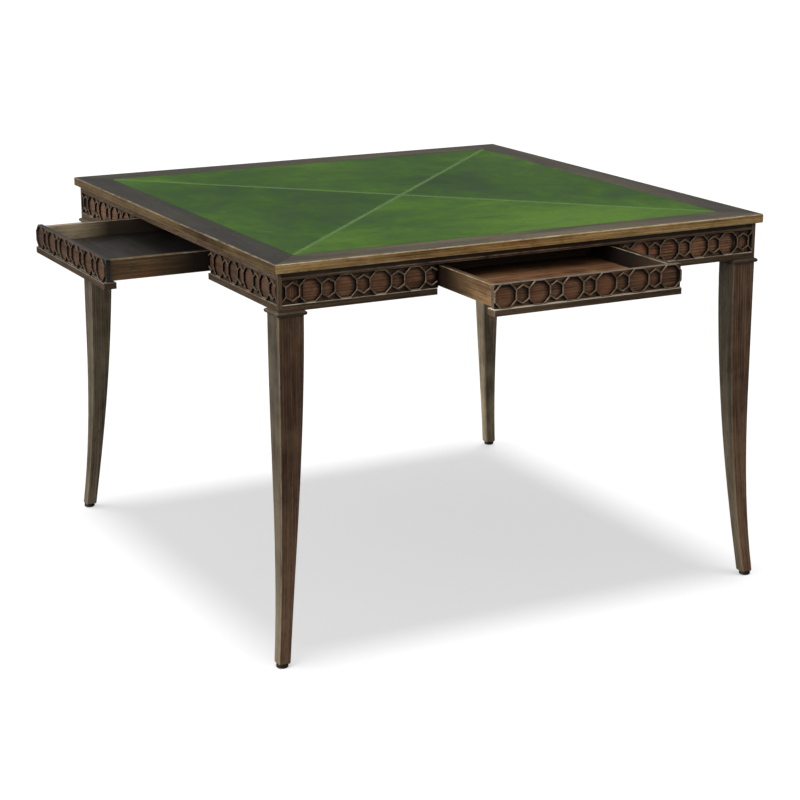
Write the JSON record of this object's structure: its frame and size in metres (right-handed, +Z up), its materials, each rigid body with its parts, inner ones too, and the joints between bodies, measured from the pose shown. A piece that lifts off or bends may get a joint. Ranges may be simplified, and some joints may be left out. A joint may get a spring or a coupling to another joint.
{
  "type": "gaming table",
  "caption": "Square gaming table with an inset leather top in triangular panels, fretwork aprons, sabre legs and a sliding drawer in each side.",
  "frame": {"origin": "on the floor, under the middle of the bounding box as stored, with the front and left drawers standing open; the centre of the table itself is 95.15 mm towards +X and 93.65 mm towards +Y of it", "axes": "+Z up, the front side and its drawer face -Y, the left side and its drawer face -X"},
  "size_m": [1.2748, 1.2718, 0.762],
  "materials": {
    "frame_wood": "satin dark walnut with worn lighter edges",
    "ground_wood": "satin reddish walnut",
    "drawer_wood": "stained, dull",
    "core_wood": "unfinished",
    "green_leather": "mottled, lightly waxed",
    "glide_plastic": "matte"
  },
  "bodies": {
    "table": {"top_core": "core_wood", "top_rail_front": "frame_wood", "top_rail_right": "frame_wood", "top_rail_back": "frame_wood", "top_rail_left": "frame_wood", "leather_panel_front": "green_leather", "leather_panel_right": "green_leather", "leather_panel_back": "green_leather", "leather_panel_left": "green_leather", "leg_front_left": "frame_wood", "leg_front_right": "frame_wood", "leg_back_right": "frame_wood", "leg_back_left": "frame_wood", "leg_collar_front_left": "frame_wood", "leg_collar_front_right": "frame_wood", "leg_collar_back_right": "frame_wood", "leg_collar_back_left": "frame_wood", "foot_glide_front_left": "glide_plastic", "foot_glide_front_right": "glide_plastic", "foot_glide_back_right": "glide_plastic", "foot_glide_back_left": "glide_plastic", "apron_board_front": "ground_wood", "apron_board_right": "ground_wood", "apron_board_back": "ground_wood", "apron_board_left": "ground_wood", "apron_facing_front": "frame_wood", "apron_facing_right": "frame_wood", "apron_facing_back": "frame_wood", "apron_facing_left": "frame_wood", "runner_frame_front": "core_wood", "runner_frame_right": "core_wood", "runner_frame_back": "core_wood", "runner_frame_left": "core_wood"},
    "drawer_front": {"drawer_front_front_board": "ground_wood", "drawer_front_fretwork": "frame_wood", "drawer_front_side_left": "drawer_wood", "drawer_front_side_right": "drawer_wood", "drawer_front_back": "drawer_wood", "drawer_front_bottom": "drawer_wood"},
    "drawer_right": {"drawer_right_front_board": "ground_wood", "drawer_right_fretwork": "frame_wood", "drawer_right_side_left": "drawer_wood", "drawer_right_side_right": "drawer_wood", "drawer_right_back": "drawer_wood", "drawer_right_bottom": "drawer_wood"},
    "drawer_back": {"drawer_back_front_board": "ground_wood", "drawer_back_fretwork": "frame_wood", "drawer_back_side_left": "drawer_wood", "drawer_back_side_right": "drawer_wood", "drawer_back_back": "drawer_wood", "drawer_back_bottom": "drawer_wood"},
    "drawer_left": {"drawer_left_front_board": "ground_wood", "drawer_left_fretwork": "frame_wood", "drawer_left_side_left": "drawer_wood", "drawer_left_side_right": "drawer_wood", "drawer_left_back": "drawer_wood", "drawer_left_bottom": "drawer_wood"}
  },
  "joints": [
    {"name": "drawer_front_slide", "type": "slide", "parent": "table", "child": "drawer_front", "axis": [0, -1, 0], "range_m": [-0.206, 0.029]},
    {"name": "drawer_right_slide", "type": "slide", "parent": "table", "child": "drawer_right", "axis": [1, 0, 0], "range_m": [0, 0.235]},
    {"name": "drawer_back_slide", "type": "slide", "parent": "table", "child": "drawer_back", "axis": [0, 1, 0], "range_m": [0, 0.235]},
    {"name": "drawer_left_slide", "type": "slide", "parent": "table", "child": "drawer_left", "axis": [-1, 0, 0], "range_m": [-0.209, 0.026]}
  ]
}
